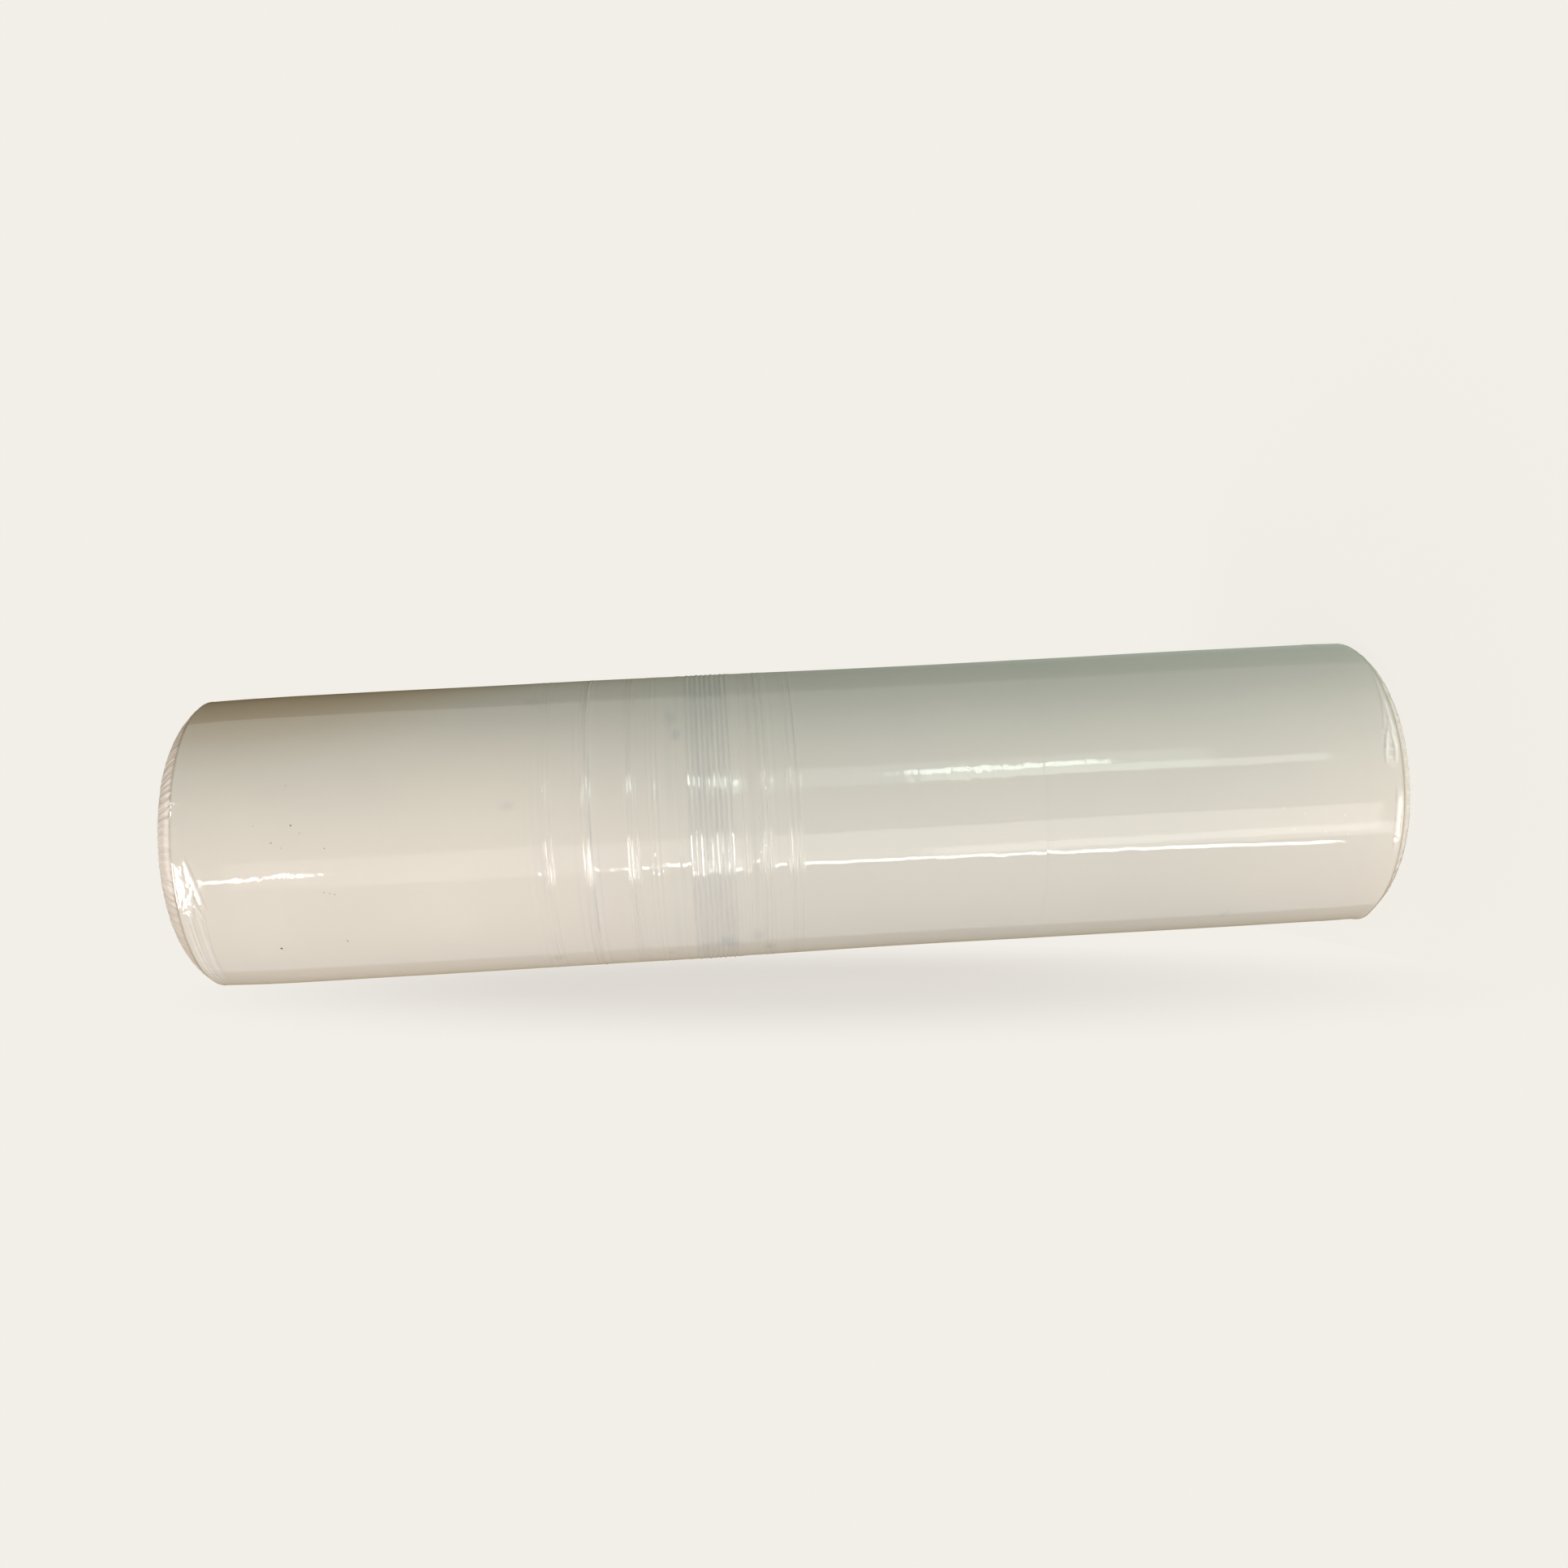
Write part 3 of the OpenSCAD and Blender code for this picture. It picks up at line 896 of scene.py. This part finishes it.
@dataclass
class WoundFilm:
    """The wound film as one closed skin: side, shoulders, wound faces and bore."""

    form: RollForm
    columns: int = 208
    rows_per_ridge: int = 12
    plain_step: float = 3.0
    under: float = 0.7
    turn_step: float = 0.8
    cover: dict[End, float] = per_end(16.0, 23.0)
    cover_depth: float = 0.3

    def side_heights(self) -> list[float]:
        """Heights of the rows up the side, close together where the film has fine forms."""
        z = self.form.height(End.LOWER, self.form.shoulder_height[End.LOWER])
        stop = self.form.height(End.UPPER, self.form.shoulder_height[End.UPPER])
        heights = []
        while z < stop:
            heights.append(z)
            z += self._row_step(z)
        heights.append(stop)
        return heights

    def _row_step(self, z: float) -> float:
        """Distance from one row of the side to the next."""
        for band in self.form.bands:
            middle = self.form.gauge_z + band.offset
            if abs(z - middle) < band.width / 2 + 0.5:
                return band.width / band.ridges / self.rows_per_ridge
        return self.plain_step

    def face_rows(self, end: End) -> list[Row]:
        """Rows of a wound face from the bore outwards, with the steps between its turns."""
        start = self.form.core_radius
        stop = self.form.lip_radius(end) - 1
        count = round((stop - start) / self.turn_step)
        rows = []
        for i in range(count + 1):
            radius = start + (stop - start) * i / count
            step = 0.16 * math.sin(1.9 * i) + 0.1 * math.sin(0.7 * i + 1)
            rows.append((radius, self.form.height(end, self.form.face_recess + 0.15 + step)))
        return rows

    def build(self, materials: Sequence[bpy.types.Material]) -> bpy.types.Object:
        """Builds the closed skin of the wound film.

        Args:
            materials: The side's material and the wound faces' material.

        Returns:
            The finished piece.
        """
        form = self.form
        rows = self.face_rows(End.LOWER) + self._shoulder_rows(End.LOWER)
        rows += [(form.side_radius(z) + form.ridge(z), z) for z in self.side_heights()]
        rows += reversed(self.face_rows(End.UPPER) + self._shoulder_rows(End.UPPER))
        mesh = lathe(rows, self.columns)
        low_edge = form.shoulder_height[End.LOWER]
        high_edge = form.width - form.shoulder_height[End.UPPER]
        for vert in mesh.verts:
            x, y, z = vert.co
            radius = math.hypot(x, y)
            if low_edge <= z <= high_edge and radius > form.lip_radius(End.LOWER):
                move = form.ripple(x, y, z) - self._covered(z)
                vert.co.x *= (radius + move) / radius
                vert.co.y *= (radius + move) / radius
            elif form.core_radius + 0.3 < radius < form.lip_radius(End.UPPER):
                vert.co.z += 0.08 * grain(x, y, z, 12.0, 5.0)
        for face in mesh.faces:
            middle = face.calc_center_median()
            inner = math.hypot(middle.x, middle.y) < form.lip_radius(End.LOWER)
            face.material_index = 1 if inner else 0
        return ride(to_object(mesh, "film_roll_skin", materials))

    def _shoulder_rows(self, end: End) -> list[Row]:
        """Rows of the winding's own shoulder, which lies under the gathered film edge."""
        form = self.form
        edge, lip = form.edge_radius(end), form.lip_radius(end)
        height = form.shoulder_height[end]
        start = form.face_recess + self.under
        rows = [(lip, form.height(end, start))]
        for i in range(1, 8):
            t = i / 8
            depth = start + (height - 1.4 - form.face_recess) * t ** 1.25
            rows.append((lip + (edge - 1.0 - lip) * t, form.height(end, depth)))
        rows.append((edge - 0.7, form.height(end, height - 0.35)))
        return rows

    def _covered(self, z: float) -> float:
        """How far the winding lies back under the outermost film near the ends."""
        lower = smooth(self.cover[End.LOWER] - z)
        upper = smooth(self.cover[End.UPPER] - (self.form.width - z))
        return self.cover_depth * max(lower, upper)


@dataclass(frozen=True)
class FilmRow:
    """One row of an end film: radius, distance from the film's end, pleats' share, and painted shade of
    its groove.
    """

    radius: float
    depth: float
    pleat: float
    groove_shade: float = 0.0


@dataclass
class EndFilm:
    """The outermost film at one end: a crumpled strip of the side, the pleats and the clear lip."""

    form: RollForm
    end: End
    pleats: int
    columns_per_pleat: int
    reach: float
    pleat_depth: float = 0.7
    # Strength of the painted highlight on the pleats' crests
    crest_highlight: float = 1.0
    fine: float = 0.0
    frost: float = 0.6
    crown: float = 1.1
    bead: float = 0.15
    thickness: float = 0.12
    over: float = 0.03
    row_step: float = 0.46
    ragged: float = 1.6
    # Rows of the lip: share of its width, way inside it, distance from the film's end, pleats' share
    lip_rows: tuple[tuple[float, float, float, float], ...] = (
        (0, 0, 0.05, 0.6), (0.5, 0, 0.05, 0.45), (1, 0, 0.12, 0.4), (1, 0.6, 0.4, 0.4),
        (1, 2.0, 0.55, 0.35),
    )

    def rows(self) -> list[FilmRow]:
        """Rows of the film from the side over the shoulder to the ragged inner edge."""
        form = self.form
        edge, lip = form.edge_radius(self.end), form.lip_radius(self.end)
        height = form.shoulder_height[self.end]
        count = math.ceil((self.reach - height - 0.6) / self.row_step)
        rows = []
        for i in range(count + 1):
            depth = self.reach + (height + 0.6 - self.reach) * i / count
            radius = form.side_radius(form.height(self.end, depth)) + self.over
            rows.append(FilmRow(radius, depth, 0.1 * (i / count) ** 4))
        # The fold line over the edge takes painted shade through these rows' groove shares
        rows.append(FilmRow(edge + self.bead, height + 0.1, 0.25, 0.4))
        rows.append(FilmRow(edge - 0.25, height - 0.35, 0.4, 1.0))
        length = math.hypot(height, edge - lip)
        out, towards_end = height / length, (edge - lip) / length
        for i in range(1, 11):
            t = i / 11
            swell = self.crown * math.sin(math.pi * t) ** 0.7
            radius = edge - (edge - lip) * t + swell * out
            depth = height * (1 - t) - swell * towards_end
            rows.append(FilmRow(radius, depth, 1.0, 0.35 if i == 1 else 0.0))
        for share, inside, depth, pleat in self.lip_rows:
            rows.append(FilmRow(lip - share * form.lip_width - inside, depth, pleat))
        return rows

    def build(self, material: bpy.types.Material) -> bpy.types.Object:
        """Builds the end film.

        Args:
            material: The film's material, which reads the attributes of painted highlight on folds,
                painted shade in grooves, and frost.

        Returns:
            The finished piece.
        """
        rows = self.rows()
        mesh = bmesh.new()
        layers = mesh.verts.layers.float
        # Painted highlight on folds, painted shade in grooves, and the lip's frost
        fold, groove_shade, frost = (layers.new(name) for name in ("fold", "groove_shade", "frost"))
        columns = self.pleats * self.columns_per_pleat
        ring = bmesh.ops.create_circle(mesh, segments=columns, radius=self.form.radius, cap_ends=False)
        verts = ring["verts"]
        edges = list({edge for vert in verts for edge in vert.link_edges})
        for number, row in enumerate(rows):
            if number:
                grown = bmesh.ops.extrude_edge_only(mesh, edges=edges)["geom"]
                verts = [item for item in grown if isinstance(item, bmesh.types.BMVert)]
                edges = [item for item in grown if isinstance(item, bmesh.types.BMEdge)]
            inner = number == len(rows) - 1
            for vert in verts:
                vert[fold], vert[groove_shade] = self._place(vert, row, inner)
                vert[frost] = self.frost * smooth(2 * row.pleat - 0.5)
        bmesh.ops.recalc_face_normals(mesh, faces=mesh.faces[:])
        piece = to_object(mesh, f"{self.end.value}_end_film", [material])
        solid = piece.modifiers.new("film_thickness", "SOLIDIFY")
        solid.thickness = self.thickness * MM
        solid.offset = -1.0
        solid.use_rim = False
        return ride(piece)

    def _place(self, vert: bmesh.types.BMVert, row: FilmRow, inner: bool) -> tuple[float, float]:
        """Moves one point to its place in a row, with the pleats, creases and crumples there.

        Args:
            vert: The point, at its turn angle.
            row: The row that it belongs to.
            inner: Whether the row is the film's ragged inner edge.

        Returns:
            The painted highlight on a fold there, and the painted shade in a groove.
        """
        form = self.form
        turn = turn_of(vert.co.x, vert.co.y)
        point = at_turn(row.radius, turn, row.depth)
        wave = self._pleat(turn, row.depth)
        dip = self.pleat_depth * row.pleat * (1 - wave)
        height = form.shoulder_height[self.end]
        # Painted highlight on the pleats' crests, and painted shade from the row's groove
        crest_highlight, dark = self.crest_highlight * wave ** 4 * row.pleat, row.groove_shade
        lift = form.bulge(self.end, turn) * min(1.0, row.pleat / 0.35)
        if row.depth > height:
            near_edge = smooth((self.reach - row.depth) / 3)
            crease, foot_shade = form.crease(self.end, turn, row.depth)
            ruffles = (patch for patch in form.ruffles if patch.end is self.end)
            crumple = sum(patch.lift(turn, row.depth, point) for patch in ruffles)
            lift += form.ripple(point.x, point.y, form.height(self.end, row.depth))
            lift += near_edge * (form.fold_height * crease + crumple)
            # Painted highlight on crease crests and crumples, and painted shade at the creases' feet
            crest_highlight = crease + 2.5 * crumple
            dark = max(dark, 0.5 * foot_shade * near_edge)
        elif row.depth > 0.5:
            lift += form.ripple(point.x, point.y, form.height(self.end, row.depth)) * row.depth / height
        rough = 0.1 * grain(*point, 2.2, 7.0) + 0.06 * grain(*point, 0.9, 3.0)
        ragged = self.ragged * (0.5 + grain(0.5 * turn, 0, 0, 2.0, 9.0)) if inner else 0.0
        reach = row.radius - 0.6 * dip + lift + row.pleat * rough - ragged
        deep = max(row.depth + 0.75 * dip, 0.03)
        vert.co = at_turn(reach, turn, form.height(self.end, deep))
        return clamp(crest_highlight), clamp(dark)

    def _pleat(self, turn: float, depth: float) -> float:
        """Height of the pleats at a turn angle, from 0 in a valley to 1 on a crest."""
        shift = 0.9 * grain(0.08 * turn, 0, 0, 1.0, 4.0)
        shift += 0.5 * grain(0.12 * turn, 0.12 * depth, 0, 1.0, 2.0)
        phase = turn / 360 * self.pleats + shift * self._seam_fade(turn)
        sharp = abs(2 * (phase - math.floor(phase)) - 1) ** 1.3
        tall = clamp(0.62 + 0.6 * grain(0.2 * turn, 1.0, 0, 1.0, 6.0), 0.2, 1.0)
        tooth = abs(2 * (3.1 * phase - math.floor(3.1 * phase)) - 1)
        return 1 - tall * ((1 - self.fine) * (1 - sharp) + self.fine * (1 - tooth))

    @staticmethod
    def _seam_fade(turn: float) -> float:
        """Fades the pleats' shift out where the turn angle jumps from 180 to -180."""
        return smooth((180 - abs(turn)) / 12)


class Reach(Enum):
    """What a light acts on: everything, only soft shading, or only reflections."""

    ALL = "all"
    SHADING = "shading"
    REFLECTION = "reflection"


@dataclass(frozen=True)
class Panel:
    """A soft light beside the roll, facing its axis, or a point of it when it is aimed."""

    name: str
    turn: float
    distance: float
    z: float
    width: float
    height: float
    radiance: float
    colour: Colour
    reach: Reach = Reach.ALL
    aim_z: Optional[float] = None

    def build(self) -> bpy.types.Object:
        """Builds the light's object."""
        place = at_turn(self.distance, self.turn, self.z)
        rise = 0.0 if self.aim_z is None else self.z - self.aim_z
        back = Vector((place.x, place.y, rise)).normalized()
        side = Vector((0, 0, 1)).cross(back).normalized()
        up = back.cross(side)
        return self.lamp(place, Matrix((side, up, back)).transposed(), self.width, self.height)

    def lamp(self, place: Vector, turned: Matrix, width: float, height: float) -> bpy.types.Object:
        """Makes an area light of this panel's look.

        Args:
            place: Its middle, in metres.
            turned: Its turn; it shines along its own -Z.
            width: Its size along its own X.
            height: Its size along its own Y.

        Returns:
            The light's object, linked to the scene.
        """
        light = bpy.data.lights.new(self.name, "AREA")
        light.shape = "RECTANGLE"
        light.size = width
        light.size_y = height
        light.color = self.colour
        light.energy = self.radiance * math.pi * width * height
        lamp = linked(self.name, light)
        lamp.visible_glossy = self.reach is not Reach.SHADING
        lamp.visible_diffuse = self.reach is not Reach.REFLECTION
        lamp.visible_camera = False
        lamp.matrix_world = Matrix.Translation(place) @ turned.to_4x4()
        return lamp


@dataclass(frozen=True)
class Tube(Panel):
    """A long thin light between two points, each given by its turn angle and height."""

    turn_top: float = 0.0
    z_top: float = 0.0

    def build(self) -> bpy.types.Object:
        """Builds the light's object, with its length between the two points."""
        low = at_turn(self.distance, self.turn, self.z)
        high = at_turn(self.distance, self.turn_top, self.z_top)
        middle = (low + high) / 2
        up = (high - low).normalized()
        side = up.cross(Vector((middle.x, middle.y, 0))).normalized()
        turned = Matrix((side, up, side.cross(up))).transposed()
        return self.lamp(middle, turned, self.width, (high - low).length)


@dataclass(frozen=True)
class ReflectedCard:
    """A card that only reflections see, so that the roll's edges mirror it and stay dark."""

    name: str
    turn_from: float
    turn_to: float
    low_colour: Colour
    high_colour: Colour
    distance: float = 0.6
    low: float = -0.6
    high: float = 1.1
    fade_from: float = -0.15
    fade_to: float = 0.6

    def build(self) -> None:
        """Builds the card as one upright sheet and hides it from all but reflections."""
        left, right = self.turn_from, self.turn_to
        corners = ((left, self.low), (right, self.low), (right, self.high), (left, self.high))
        mesh = bmesh.new()
        mesh.faces.new([mesh.verts.new(at_turn(self.distance, turn, z)) for turn, z in corners])
        card = mesh_object(mesh, self.name, [self._material()])
        card.visible_camera = False
        card.visible_diffuse = False
        card.visible_transmission = False
        card.visible_shadow = False

    def _material(self) -> bpy.types.Material:
        """Glows dimly, from one colour low down to the other high up."""
        material, shader = new_material(self.name)
        _, axes = shader.coordinates()
        share = shader.span(axes[2], self.fade_from, self.fade_to)
        colour = shader.mix(share, rgba(self.low_colour), rgba(self.high_colour))
        shader.surface("ShaderNodeEmission", {"Color": colour, "Strength": 1.0})
        return material


@dataclass
class Studio:
    """Pale floor and backboard, and soft light."""

    backdrop: Colour = srgb(242, 239, 232)
    fill: Colour = (1.0, 0.95, 0.8)
    fill_strength: float = 0.22
    board_gap: float = 0.014
    sheet_half: float = 4.0
    panels: tuple[Panel, ...] = table(
        Panel,
        ("key_low", -29, 1.5, -0.275, 0.6, 0.95, 2.6, (1.0, 0.93, 0.9)),
        ("key_band", -39, 1.5, -0.42, 0.26, 0.8, 2.6, (1.0, 0.96, 0.93), Reach.REFLECTION),
        ("key_high", -27.5, 1.5, 0.625, 0.6, 0.85, 1.5, (1.0, 0.95, 0.92)),
        ("key_fill", -27, 1.3, 1.0, 1.0, 1.1, 1.3, (1.0, 0.98, 1.0), Reach.SHADING, 0.25),
        ("window_core", 25.3, 1.5, -0.12, 0.1, 0.26, 12.0, (0.86, 1.0, 0.9)),
        ("window_soft", 25, 1.5, -0.11, 0.42, 0.62, 1.5, (0.82, 1.0, 0.92)),
        ("window_fill", 60, 0.6, -0.5, 0.5, 0.4, 1.8, (0.6, 0.96, 0.86), Reach.SHADING, 0.25),
        ("back_fill", 180, 1.8, 0.6, 1.6, 1.4, 3.0, (1.0, 0.98, 0.96), Reach.SHADING, 0.25),
        ("under_fill", -20, 0.5, -1.3, 1.2, 1.2, 2.2, (1.0, 0.97, 0.93), Reach.SHADING, 0.0),
        ("edge_fill", 100, 0.36, 0.22, 0.08, 0.2, 1.1, (0.92, 1.0, 0.94), Reach.SHADING),
        ("window_glow", 20, 1.5, -0.3, 0.16, 0.6, 3.0, (0.85, 1.0, 0.9), Reach.REFLECTION),
        ("ticks_high", -34, 1.5, 1.67, 1.0, 0.9, 36.0, (1.0, 0.94, 0.86), Reach.REFLECTION),
        ("ticks_low", -34, 1.5, -1.4, 1.0, 0.9, 8.0, (1.0, 0.95, 0.88), Reach.REFLECTION),
        ("window_high", 32, 1.5, 1.67, 0.2, 0.9, 50.0, (0.86, 1.0, 0.88), Reach.REFLECTION),
        ("window_low", 32, 1.5, -1.4, 0.2, 0.9, 6.0, (0.86, 1.0, 0.88), Reach.REFLECTION),
        ("ticks_side", 50, 1.5, -1.4, 1.0, 0.6, 4.0, (0.92, 1.0, 0.9), Reach.REFLECTION),
    ) + table(
        Tube,
        ("tube_low", -48.3, 1.5, -0.6, 0.06, 0.0, 18, (1.0, 0.96, 0.9), Reach.ALL, None, -40.7, 0.185),
        ("tube_middle", -35.5, 1.5, 0.2, 0.06, 0.0, 16, (1.0, 0.96, 0.9), Reach.ALL, None, -37.5, 0.435),
        ("tube_high", -27.2, 1.5, 0.84, 0.07, 0.0, 18, (1.0, 0.97, 0.92), Reach.ALL, None, -30.7, 1.13),
    )
    cards: tuple[ReflectedCard, ...] = (
        ReflectedCard("card_upper", 108, 174, (0.41, 0.47, 0.39), (0.09, 0.05, 0.01)),
        ReflectedCard("card_lower", -120, -174, (0.36, 0.29, 0.18), (0.4, 0.31, 0.19)),
    )

    def build(self, radius: float, middle: float) -> None:
        """Builds the world, the floor, the backboard and the lights.

        Args:
            radius: Radius of the roll in metres.
            middle: Height of the roll's middle in metres.
        """
        self._world()
        self._sheet(FloorShade(), Vector((0, 0, 0)), Matrix.Identity(3))
        turned = Matrix.Rotation(math.radians(90), 3, "Y")
        self._sheet(BoardShade(), Vector((-radius - self.board_gap, 0, middle)), turned)
        for panel in self.panels:
            panel.build()
        for card in self.cards:
            card.build()
        top = Panel("top_soft", 0, 0, 2.4, 1.2, 1.2, 3.6, (1.0, 0.99, 0.97))
        top.lamp(Vector((0, 0, top.z)), Matrix.Identity(3), top.width, top.height)

    def _world(self) -> None:
        """Shows the pale backdrop to the camera and in reflections, and a dimmer fill elsewhere."""
        world = bpy.data.worlds.new("studio")
        bpy.context.scene.world = world
        world.use_nodes = True
        shader = Shader(world.node_tree)
        path = shader.node("ShaderNodeLightPath")
        seen = shader.math("MAXIMUM", path.outputs["Is Camera Ray"], path.outputs["Is Glossy Ray"])
        seen = shader.math("MAXIMUM", seen, path.outputs["Is Transmission Ray"])
        dim = {"Color": rgba(self.fill), "Strength": self.fill_strength}
        fill = shader.node("ShaderNodeBackground", dim)
        plain = shader.node("ShaderNodeBackground", {"Color": rgba(self.backdrop), "Strength": 1.0})
        both = shader.blend(seen, fill, plain)
        shader.node("ShaderNodeOutputWorld", {"Surface": both.outputs[0]})

    def _sheet(self, shade: "SheetShade", place: Vector, turned: Matrix) -> None:
        """Makes a plain sheet that fades into the backdrop away from the roll.

        Args:
            shade: Where the sheet shows its own light and shadow.
            place: Point of the sheet nearest the roll.
            turned: Turn of the sheet, whose face looks along its own Z.
        """
        mesh = bmesh.new()
        bmesh.ops.create_grid(mesh, x_segments=8, y_segments=8, size=self.sheet_half)
        sheet = mesh_object(mesh, shade.name, [shade.material(self.backdrop)])
        sheet.matrix_world = Matrix.Translation(place) @ turned.to_4x4()
        sheet.visible_glossy = False
        sheet.visible_shadow = False
        sheet.visible_diffuse = False
        sheet.visible_transmission = False


@dataclass(frozen=True)
class SheetShade:
    """Where a sheet of the stage shows its own light and shadow, in the sheet's own X and Y."""

    name: str
    middle: Row
    reach: Row
    turn: float
    inner: float
    share: float
    card: Colour

    def material(self, backdrop: Colour) -> bpy.types.Material:
        """Mixes lit card with the plain backdrop colour, and lets the sheet's back be seen through.

        Args:
            backdrop: The backdrop's colour.

        Returns:
            The sheet's material.
        """
        material, shader = new_material(self.name)
        place, _ = shader.coordinates()
        moved = shader.vector("SUBTRACT", place, Vector((*self.middle, 0)))
        angle = {"Vector": moved.outputs[0], "Angle": math.radians(self.turn)}
        turned = shader.node("ShaderNodeVectorRotate", angle, rotation_type="Z_AXIS")
        scale = Vector((1 / self.reach[0], 1 / self.reach[1], 1))
        scaled = shader.stretched(turned.outputs[0], scale)
        far = shader.vector("LENGTH", scaled).outputs["Value"]
        share = shader.span(far, self.inner, 1.0, self.share, 0.0)
        path = shader.node("ShaderNodeLightPath")
        plain = shader.node("ShaderNodeEmission", {"Color": rgba(backdrop), "Strength": 1.0})
        card = shader.node("ShaderNodeBsdfDiffuse", {"Color": rgba(self.card), "Roughness": 0.5})
        shown = shader.blend(share, plain, card)
        front = shader.blend(path.outputs["Is Camera Ray"], card, shown)
        clear = shader.node("ShaderNodeBsdfTransparent")
        behind = shader.node("ShaderNodeNewGeometry").outputs["Backfacing"]
        both = {0: behind, 1: front.outputs[0], 2: clear.outputs[0]}
        shader.surface("ShaderNodeMixShader", both)
        return material


@dataclass(frozen=True)
class FloorShade(SheetShade):
    """The floor, with the roll's soft shadow round its foot."""

    name: str = "floor"
    middle: Row = (0.0, 0.0)
    reach: Row = (0.3, 0.3)
    turn: float = 0.0
    inner: float = 0.25
    share: float = 0.07
    card: Colour = (0.96, 0.94, 0.91)


@dataclass(frozen=True)
class BoardShade(SheetShade):
    """The backboard beside the roll, with a painted shadow below the roll: a darker card in a soft
    ellipse, deepened by the roll's own shadow.
    """

    name: str = "backboard_painted_shadow"
    middle: Row = (-0.025, 0.02)
    reach: Row = (0.345, 0.169)
    turn: float = 30.7
    inner: float = 0.24
    share: float = 0.235
    # Dark card that paints the shadow inside the ellipse
    card: Colour = (0.46, 0.41, 0.405)


@dataclass(frozen=True)
class RollCamera:
    """The camera, on its side, five diameters from the roll's axis."""

    distance: float = 0.6152
    z: float = 0.2806
    yaw: float = 2.725
    pitch: float = 1.126
    roll: float = -183.126
    focal_share: float = 1750 / 1932
    sensor: float = 36.0

    def build(self) -> None:
        """Builds the camera and makes it the scene's.

        The three turns are told in the roll's lying frame: its first axis runs up the roll,
        its second is the roll's +X and its third is the direction of view.
        """
        turned = Matrix.Rotation(math.radians(self.roll), 3, "Z")
        turned = turned @ Matrix.Rotation(math.radians(self.yaw), 3, "Y")
        turned = turned @ Matrix.Rotation(math.radians(self.pitch), 3, "X")
        right, down, forward = (Vector((row[1], row[2], row[0])) for row in turned)
        data = bpy.data.cameras.new("side_camera")
        data.sensor_fit = "HORIZONTAL"
        data.sensor_width = self.sensor
        data.lens = self.sensor * self.focal_share
        data.clip_start = 0.01
        camera = linked("side_camera", data)
        axes = Matrix((right, -down, -forward)).transposed()
        camera.matrix_world = Matrix.Translation((0, -self.distance, self.z)) @ axes.to_4x4()
        bpy.context.scene.camera = camera


def main() -> None:
    """Builds the roll, its finishes, the studio and the camera in order."""
    logging.basicConfig(level=logging.INFO, format="%(message)s")
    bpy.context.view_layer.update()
    bpy.context.scene.view_settings.view_transform = "Standard"
    core_low, core_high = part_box("core_tube")
    film_low, film_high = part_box("film_roll")
    form = RollForm(width=(film_high.z - film_low.z) / MM, core_radius=core_high.x / MM)
    RollCamera().build()
    groups = EffectGroups()
    side = WoundFilmFinish().material(groups, form.radius)
    face = WoundFaceFinish().material(groups)
    skin = WoundFilm(form).build([side, face])
    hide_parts("film_roll")
    ends = (
        EndFilm(form, End.LOWER, 54, 12, 21.0, pleat_depth=0.45, crest_highlight=0.5, fine=0.4, frost=0.3),
        EndFilm(form, End.UPPER, 108, 7, 28.0, pleat_depth=0.9, crest_highlight=0.7, fine=0.6, frost=0.7),
    )
    for end in ends:
        end.build(side)
    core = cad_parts["core_tube"]
    core.data.materials.clear()
    core.data.materials.append(CardFinish().material(groups))
    Studio().build(form.radius * MM, form.width * MM / 2)


if __name__ == "__main__":
    main()
